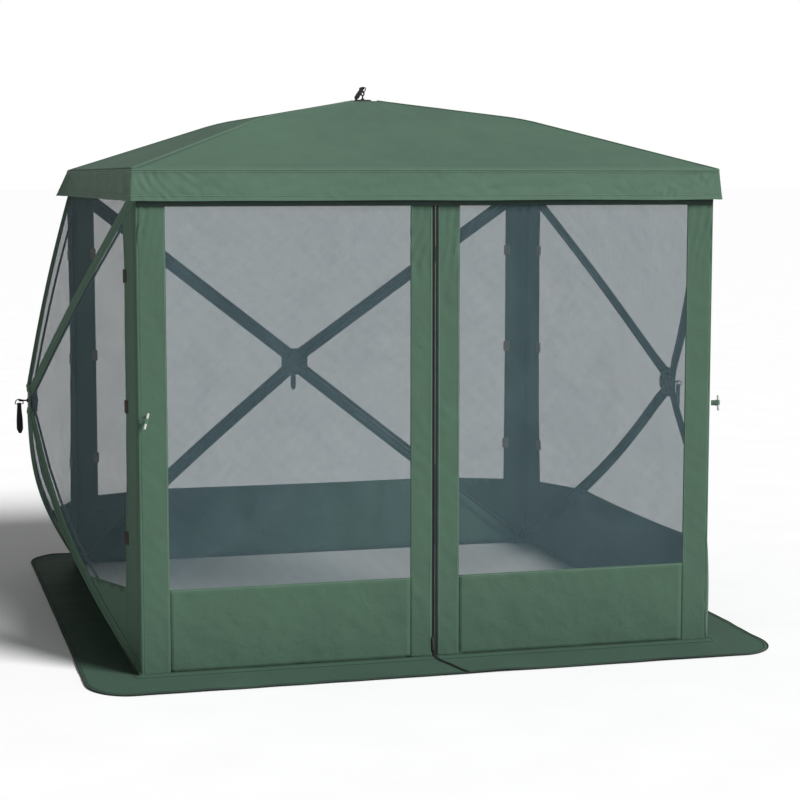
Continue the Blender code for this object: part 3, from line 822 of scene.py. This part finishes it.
def front_patch(sheet, sides, heights, wave=1.0, seed=0.0, step=0.016, slot=0, lift=0.0):
    """A patch of the front wall between two sides and two heights, with light wrinkles."""
    columns, rows = (max(2, int(abs(b - a) / step)) for a, b in (sides, heights))

    def place(z, x):
        return front_point(x, z, lift, wave, seed), (x, z)

    sheet.surface(spread(*heights, rows), spread(*sides, columns), place, slot)


def front_line(sheet, sides, heights, wave=1.0, seed=0.0):
    """A row of stitches on the front wall, from the first side and height to the second."""
    spots = zip(spread(*sides, 80), spread(*heights, 80))
    sheet.stitches([front_point(x, z, STITCH_LIFT, wave, seed) for x, z in spots], FRONT)


def front_border():
    """The two corner strips of the door wall and the band over the doors, with a near-black strip
    at the band's foot that is the valance's shadow painted on.
    """
    edge, inside = -FRONT_LOW.x, DOOR_HINGE + 0.0003
    for side, sign in (("left", -1), ("right", 1)):
        sheet = Sheet()
        seed, x = sign * 3.0, sign * (inside + 0.005)
        sides = (sign * inside, sign * edge)
        front_patch(sheet, sides, (WALL_BOTTOM, DOOR_TOP), seed=seed, step=0.009)
        front_line(sheet, (x, x), (PANEL_TOP, DOOR_TOP - 0.02), seed=seed)
        obj = sheet.sewn(f"front_post_{side}", [WALL_CLOTH, THREAD], FRONT)
        joined(obj, "border_cloth")
    sheet = Sheet()
    front_patch(sheet, (-edge, edge), (DOOR_TOP, WALL_TOP), 0.4, 3.0)
    # a dark strip raised a little off the band's foot, just under the valance: painted shadow of
    # the valance
    heights = (DOOR_TOP - 0.004, DOOR_TOP + 0.022)
    front_patch(sheet, (-edge, edge), heights, 0.4, 3.0, 0.012, slot=1, lift=0.0042)
    obj = sheet.sewn("front_header", [WALL_CLOTH, PAINTED_SHADOW_TAPE], FRONT)
    joined(obj, "border_cloth", replaced="front_border")


def corner_welt(corner, x_sign, y_sign):
    """The rounded corner where two walls are sewn together round the corner's edge."""
    sheet = Sheet()
    reach = HALF - WELT_RADIUS * 0.8
    centre = (x_sign * reach, MID_Y + y_sign * reach)

    def place(z, j):
        bend = WELT_RADIUS + 0.0006 * ripple(*centre, z, 20.0, j * 0.1)
        turn = WELT_TURN * j / 8 - math.pi / 4
        x = centre[0] + x_sign * bend * math.cos(turn)
        y = centre[1] + y_sign * bend * math.sin(turn)
        return Vector((x, y, z)), (WELT_RADIUS * turn, z)

    sheet.surface(spread(WALL_BOTTOM, WALL_TOP - 0.004, 90), range(9), place)
    obj = sheet.object(f"corner_welt_{corner}", [WALL_CLOTH], 40)
    joined(obj, "border_cloth")


def zip_half(side, sign):
    """A zip tape with half of the teeth, standing between those of the other half."""
    sheet = Sheet()
    low, high = DOOR_LOW.z, DOOR_TOP

    def place(z, x):
        return Vector((sign * x, FRONT_Y - 0.0010, z)), (x, z)

    columns = (0.0012, 0.0030, 0.0060, ZIP_HALF + 0.0006)
    sheet.surface(spread(low, high, ZIP_STEPS), columns, place)
    near, far = -0.0013 * sign, 0.0042 * sign
    tooth = ((near, 0.0010), (near, 0.0032), (far, 0.0032), (far, 0.0010))
    spots = [(0, 0), (0.002, 0), (0.002, 0.002), (0, 0.002)]
    z = low + (ZIP_PITCH / 2 if sign > 0 else 0.0)
    while z < high - 0.002:
        base, top = (
            sheet.verts(Vector((x, FRONT_Y - out, z + end)) for x, out in tooth)
            for end in (-0.0011, 0.0011)
        )
        sheet.face(base, spots, 1)
        sheet.face(top[::-1], spots, 1)
        sheet.side_faces(top, base, spots, 1)
        z += ZIP_PITCH
    return sheet.object(f"zip_chain_{side}", [ZIP_TAPE, ZIP_COIL], 30, weld=0)


def doors():
    """Each half of the door wall: netting with a centre strip and a bottom panel, and its zip."""
    low = DOOR_LOW.z
    ends = [Vector((0, FRONT_Y, z)) for z in (DOOR_SEWN, DOOR_STIFF)]
    for side, sign in (("left", -1), ("right", 1)):
        inner, strip, outer = (sign * x for x in (ZIP_HALF, ZIP_HALF + DOOR_STRIP, DOOR_HINGE))
        look = {"wave": 1.3, "seed": 5.0 + sign}
        net, cloth = Sheet(), Sheet()
        front_patch(net, (strip, outer), (PANEL_TOP, DOOR_TOP), **look)
        net_obj = net.object(f"net_door_{side}", [NET], 0)
        orient(net_obj, FRONT)
        front_patch(cloth, (strip, outer), (low, PANEL_TOP), **look)
        front_patch(cloth, (inner, strip), (low, DOOR_TOP), step=0.009, **look)
        sewn, zipped, panel = strip - sign * 0.005, inner + sign * 0.007, PANEL_TOP - 0.006
        front_line(cloth, (strip, outer), (panel, panel), **look)
        front_line(cloth, (sewn, sewn), (PANEL_TOP, DOOR_TOP), **look)
        front_line(cloth, (zipped, zipped), (low + 0.01, DOOR_TOP - 0.01), **look)
        cloth_obj = cloth.sewn(f"door_cloth_{side}", [WALL_CLOTH, THREAD], FRONT)
        zip_obj = zip_half(side, sign)
        joined(net_obj, "wall_mesh", f"door_{side}", f"door_{side}", *ends)
        joined(cloth_obj, "border_cloth", f"door_{side}", None, *ends)
        joined(zip_obj, "zip_black", f"door_{side}", f"zip_tape_{side}", *ends)


# ---- poles
def dressed_pole(name, body, start, end):
    """A copy of the CAD pole's own shape, cut into short lengths along it, in place of the CAD pole
    that the cloth is sleeved round.
    """
    rod = name.replace("pole_", "pole_rod_")
    low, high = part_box(name)
    axis = (high - low).normalized()
    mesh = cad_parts[name].data.copy()
    mesh.name = rod
    mesh.materials.clear()
    work = bmesh.new()
    work.from_mesh(mesh)
    bmesh.ops.remove_doubles(work, verts=work.verts, dist=0.00002)
    long_edges = [edge for edge in work.edges if edge.calc_length() > 0.05]
    bmesh.ops.subdivide_edges(work, edges=long_edges, cuts=7)
    uv = work.loops.layers.uv.get("cloth") or work.loops.layers.uv.new("cloth")
    for face in work.faces:
        for loop in face.loops:
            spot = loop.vert.co - low
            loop[uv].uv = (spot.dot(axis), spot.cross(axis).length)
    work.to_mesh(mesh)
    work.free()
    joined(finished(rod, mesh, [ROD]), "fibreglass", body, name, start, end)


def dressed_poles():
    for side in (*WALLS, "roof"):
        matrix, rim = Matrix.Translation(MIDDLE), EAVE_HALF - ROOF_STILL_EDGE
        if side in WALLS:
            matrix, rim = wall_frame(side), HALF - STILL_EDGE
        for name in poles_of(side):
            sign = math.copysign(1, (matrix.inverted() @ mean_of(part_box(name))).x)
            ends = [matrix @ (X * sign * reach) for reach in (rim, PAD)]
            dressed_pole(name, f"hub_{side}", *ends)


# ---- the ground skirt
SKIRT_ROWS = (0.0, 0.012, 0.03, 0.06, 0.10, 0.15, 0.20, 0.235, 0.25)
SKIRT_RADIUS = 0.190
SKIRT_SIDE = 0.82  # the side flaps lie drawn in a little, against the front and back ones
SKIRT_SIDE_STEPS = 150
SKIRT_CORNER_STEPS = 18
BINDING_RADIUS = 0.0019
BINDING_SIDES = 6
SKIRT_ZIP_STEPS = 44


def skirt_outline(reach):
    """Places (x, y) round the skirt at this distance from the walls."""
    outer, radius = HALF + reach, SKIRT_RADIUS * reach / SKIRT_REACH
    turn = outer - radius
    points = []
    for out in ROOF_SIDES.values():
        across = Z.cross(out)
        for along in spread(-turn, turn, SKIRT_SIDE_STEPS)[:-1]:
            points.append(out * outer + across * along)
        for angle in spread(0, math.pi / 2, SKIRT_CORNER_STEPS)[:-1]:
            arc = out * math.cos(angle) + across * math.sin(angle)
            points.append((out + across) * turn + arc * radius)
    drawn_in = [min(abs(x), HALF) + max(abs(x) - HALF, 0) * SKIRT_SIDE for x, _, _ in points]
    return [(math.copysign(size, x), y) for size, (x, y, _) in zip(drawn_in, points)]


def skirt_height(x, y, reach):
    """The skirt leaves the wall's seam in a small roll, lies down, and its edge waves a little."""
    share = reach / SKIRT_REACH
    seam = 0.010 * math.exp(-reach / 0.018)
    wave = max(0.0, ripple(x, y, 0.0, 3.2, 4.4)) * 0.011 * smooth_step(share * 1.2)
    wave += 0.0030 * (1 + ripple(x, y, 0.0, 9.0, 8.8)) * smooth_step(share * 2)
    return 0.0016 + seam + wave


def round_binding(points):
    """A round bar along the points, with u along it and v round it."""
    sheet = Sheet()
    rings, flats = [], []
    angles = spread(0, TURN, BINDING_SIDES)
    side = None
    for point, ahead, travelled in along_path(points):
        side = side or ahead.orthogonal().normalized()
        side = (side - ahead * side.dot(ahead)).normalized()
        other = ahead.cross(side)
        ring = [side * math.cos(angle) + other * math.sin(angle) for angle in angles[:-1]]
        rings.append([point + step * BINDING_RADIUS for step in ring])
        flats.append([(travelled, BINDING_RADIUS * angle) for angle in angles])
    sheet.grid(rings, flats, closed=True)
    return sheet.object("skirt_binding", [BINDING], 60)


def ground_skirt():
    """The flap on the ground, with its stitching and its bound edge."""
    sheet = Sheet()
    rows, flat = [], []
    for reach in SKIRT_ROWS:
        outline = skirt_outline(reach)
        rows.append([Vector((x, y + MID_Y, skirt_height(x, y, reach))) for x, y in outline])
        flat.append(outline + outline[:1])
    sheet.grid(rows, flat, closed=True)
    for row in (rows[2], rows[7]):
        sheet.stitches([point + Z * 0.0010 for point in row + row[:1]], Z)
    obj = sheet.sewn("ground_skirt_cloth", [SKIRT_CLOTH, DARK_THREAD], Z, 50, 0.0010)
    bound = round_binding([point + Z * 0.0006 for point in rows[-1] + rows[-1][:1]])
    joined(obj, "skirt_cloth", replaced="ground_skirt")
    joined(bound, "skirt_cloth")


def skirt_zip():
    """The zip's last stretch, slanting over the skirt from the wall to its edge."""
    sheet = Sheet()
    end = Vector((0.055, SKIRT_REACH - 0.006))
    across = Vector((end.y, -end.x)).normalized()
    tape = ((-0.0075, -0.003, 0.003, 0.0075), 0.0020, 0.0)
    teeth = ((-0.0026, 0.0, 0.0026), 0.0036, 0.0008)
    for slot, (offsets, lift, bump) in enumerate((tape, teeth)):

        def place(i, offset):
            spot = end * (i / SKIRT_ZIP_STEPS) + across * offset
            x, y = spot.x, -HALF - spot.y
            height = skirt_height(x, y, max(spot.y, 0.0)) + lift + bump * (i % 2)
            return Vector((x, y + MID_Y, height)), (offset, end.length * i / SKIRT_ZIP_STEPS)

        sheet.surface(range(SKIRT_ZIP_STEPS + 1), offsets, place, slot)
    obj = sheet.object("skirt_zip", [ZIP_TAPE, ZIP_COIL], 30)
    orient(obj, Z)
    joined(obj, "zip_black")


# ---- webbing
STRAP_TWIST = {"roof": 0.0, "left": -9, "back": 8, "right": -25}  # degrees
STRAP_CURL = {"roof": 0.004, "left": 0.006, "back": 0.002, "right": -0.005}
STRAP_WIDTH_AXIS = {"roof": Vector((-0.6, 0.8, 0))}  # on a wall the strap's width lies along X
STRAP_EDGE = 0.0012
PULL_T = 0.0017
RING_WIRE = 0.0036
TOGGLE_SIZE = (0.0195, 0.0014)
TOGGLE_RADIUS = 0.0056


def twisted(point, bar, down, angle):
    """A point of a hanging strap, turned about the strap's own length below its bar."""
    depth = (point - bar).dot(down)
    turn = Matrix.Rotation(angle * smooth_step((depth - 0.010) / 0.034), 3, down)
    return bar + turn @ (point - bar)


def webbing(kind, side, node, path, width_axis, size, look, slot, twist=None, narrow=None):
    """A webbing strap along a path, its width along width_axis, rounded at the edges."""
    sheet = Sheet()
    half, thick = size[0] / 2, size[1] / 2
    face = [(-half + STRAP_EDGE, thick), (0, thick * 1.15), (half - STRAP_EDGE, thick)]
    profile = [(-half, 0), *face, (half, 0), *((a, -b) for a, b in reversed(face))]
    rings, flats = [], []
    for index, (point, ahead, travelled) in enumerate(along_path(path)):
        normal = ahead.cross(width_axis).normalized()
        factor = narrow(index / (len(path) - 1)) if narrow else 1.0
        ring = [point + width_axis * (a * factor) + normal * b for a, b in profile]
        rings.append([twist(spot) for spot in ring] if twist else ring)
        flats.append([(travelled, a + (0.05 if b < 0 else 0.0)) for a, b in profile + profile[:1]])
    made = sheet.grid(rings, flats, closed=True)
    sheet.face(made[0][::-1], flats[0][:8])
    sheet.face(made[-1], flats[-1][:8])
    obj = sheet.object(f"{kind}_webbing_{side}", [look, THREAD], 60)
    work = bmesh.new()
    work.from_mesh(obj.data)
    bmesh.ops.recalc_face_normals(work, faces=work.faces)
    work.to_mesh(obj.data)
    work.free()
    joined(obj, slot, f"{kind}_{side}", node)


def loop_path(bar, down, across, radius, tail, curl):
    """A strap folded round a bar: down the back, round the bar, and down the front with a curl."""

    def leg(side):
        points = []
        for share in spread(0, 1, 14):
            off = side * lerp(0.0016, radius, math.exp(-share * tail / 0.012)) + curl * share**2
            points.append(bar + down * (radius * 0.6 + share * tail) + across * off)
        return points

    bend = []
    for angle in spread(0, math.pi, 12)[1:-1]:
        low, off = radius * 0.6 - math.sin(angle) * radius * 1.6, -math.cos(angle) * radius
        bend.append(bar + down * low + across * off)
    return leg(-1)[::-1] + bend + leg(1)


def pull_shape(share):
    """A pull's width along its length: gathered at the ring, cut to a blunt point at its ends."""
    off_ring = abs(share - 0.5) * 2
    gathered = 0.66 + 0.34 * smooth_step((off_ring - 0.30) / 0.45)
    return gathered * (1 - 0.62 * clamp((off_ring - 0.90) / 0.10))


def cad_shape(name):
    """Points of a CAD node, in the frame's own coordinates."""
    return [vert.co.copy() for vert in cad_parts[name].data.vertices]


def pull(side):
    """The webbing pull on a hub's ring."""
    node = f"pull_strap_{side}"
    points = cad_shape(node)
    mean, ring = mean_of(points), mean_of(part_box(f"pull_ring_{side}"))
    width_axis = STRAP_WIDTH_AXIS.get(side, X)
    far = max((co - ring).length for co in points)
    down = mean_of([co for co in points if (co - ring).length > 0.9 * far]) - ring
    down = (down - width_axis * down.dot(width_axis)).normalized()
    across = down.cross(width_axis).normalized()
    reach = [(co - ring).dot(down) for co in points]
    wide = max((co - mean).dot(width_axis) for co in points) * 2
    offset = across * (mean - ring).dot(across) + width_axis * (mean - ring).dot(width_axis)
    bar = ring + down * (min(reach) + RING_WIRE) + offset
    tail = max(reach) - min(reach) - RING_WIRE * 1.6
    path = loop_path(bar, down, across, RING_WIRE, tail, STRAP_CURL[side])
    size, angle = (wide * 0.98, PULL_T), math.radians(STRAP_TWIST[side])

    def twist(point):
        return twisted(point, bar, down, angle)

    webbing("pull", side, node, path, width_axis, size, PULL_WEB, "webbing", twist, pull_shape)


def toggle_loop(side):
    """The green webbing tab that holds a toggle bar."""
    node = f"toggle_loop_{side}"
    tab, bar_points = cad_shape(node), cad_shape(f"toggle_bar_{side}")
    bar = mean_of(bar_points)
    long_axis = max((co - bar for co in bar_points), key=lambda way: way.length).normalized()
    down = mean_of(tab) - bar
    down = (down - long_axis * down.dot(long_axis)).normalized()
    across = down.cross(long_axis).normalized()
    tail = max((co - bar).dot(down) for co in tab) - TOGGLE_RADIUS * 0.6
    path = loop_path(bar, down, across, TOGGLE_RADIUS, tail, 0.0)
    webbing("toggle", side, node, path, long_axis, TOGGLE_SIZE, GREEN_WEB, "green_webbing")


# ---- the frame's own parts
def dress_frame():
    """Gives every CAD node that stays in view its detailed material."""
    looks = {
        **dict.fromkeys(("corner_bracket", "corner_foot", "hub_block", "hub_plate"), BLACK),
        "eye_bolt": DARK_STEEL,
        "pull_ring": BLACK,
        "zip_slider": ZIP_COIL,
        "toggle_bar": BAR_PLASTIC,
    }
    for name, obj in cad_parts.items():
        for made in (look for start, look in looks.items() if name.startswith(start)):
            if not obj.material_slots:
                obj.data.materials.append(made)
            for slot in obj.material_slots:
                slot.link = "OBJECT"
                slot.material = made


# ---- stage and light
FLOOR_HALF = 300.0  # its far edge stays hidden behind the eaves
FILL = 0.25  # what the studio's soft surroundings add
BACKDROP = 1.0  # how white they look
KEY_AIM = Vector((0.60, -0.66, 0.72))  # towards the lamp
KEY_STRENGTH = 4.7
KEY_ANGLE = math.radians(20.0)


def stage():
    graph = Graph("pale_floor", False, Roughness=0.9, Specular_IOR_Level=0.1)
    patchy = graph.ramp(graph.noise(3.0))
    graph.set(Base_Color=graph.mix(patchy, rgb(0.84, 0.84, 0.84), rgb(0.86, 0.86, 0.86)))
    sheet = Sheet()
    sheet.face(sheet.verts(Vector((x, y, 0)) * FLOOR_HALF for x, y in AROUND), AROUND)
    sheet.object("floor", [graph.made], 0)


def light():
    scene = bpy.context.scene
    scene.world = bpy.data.worlds.new("studio")
    scene.world.use_nodes = True
    tree = scene.world.node_tree
    back = tree.nodes["Background"]
    back.inputs["Color"].default_value = rgb(1.0, 1.0, 1.0)
    path = tree.nodes.new("ShaderNodeLightPath")
    level = tree.nodes.new("ShaderNodeMapRange")
    tree.links.new(path.outputs["Is Camera Ray"], level.inputs[0])
    level.inputs[3].default_value = FILL
    level.inputs[4].default_value = BACKDROP
    tree.links.new(level.outputs[0], back.inputs["Strength"])
    data = bpy.data.lights.new("key", "SUN")
    data.energy = KEY_STRENGTH
    data.angle = KEY_ANGLE
    added("key", data).rotation_euler = KEY_AIM.to_track_quat("Z", "Y").to_euler()
    scene.view_settings.view_transform = "Standard"
    scene.view_settings.look = "None"
    scene.view_settings.exposure = 0.0


# ---- everything
for roof_side, roof_out in ROOF_SIDES.items():
    roof_face(roof_side, roof_out)
for number, (band_side, band_out) in enumerate(ROOF_SIDES.items()):
    valance_side(number, band_side, band_out)
for wall in WALLS:
    for part in SECTORS:
        wall_piece(wall, part)
front_border()
for where, signs in zip(("fl", "fr", "br", "bl"), AROUND):
    corner_welt(where, *signs)
doors()
dressed_poles()
ground_skirt()
skirt_zip()
for hub in ("roof", "left", "back", "right"):
    pull(hub)
for toggle in ("left", "right"):
    toggle_loop(toggle)
dress_frame()
stage()
light()
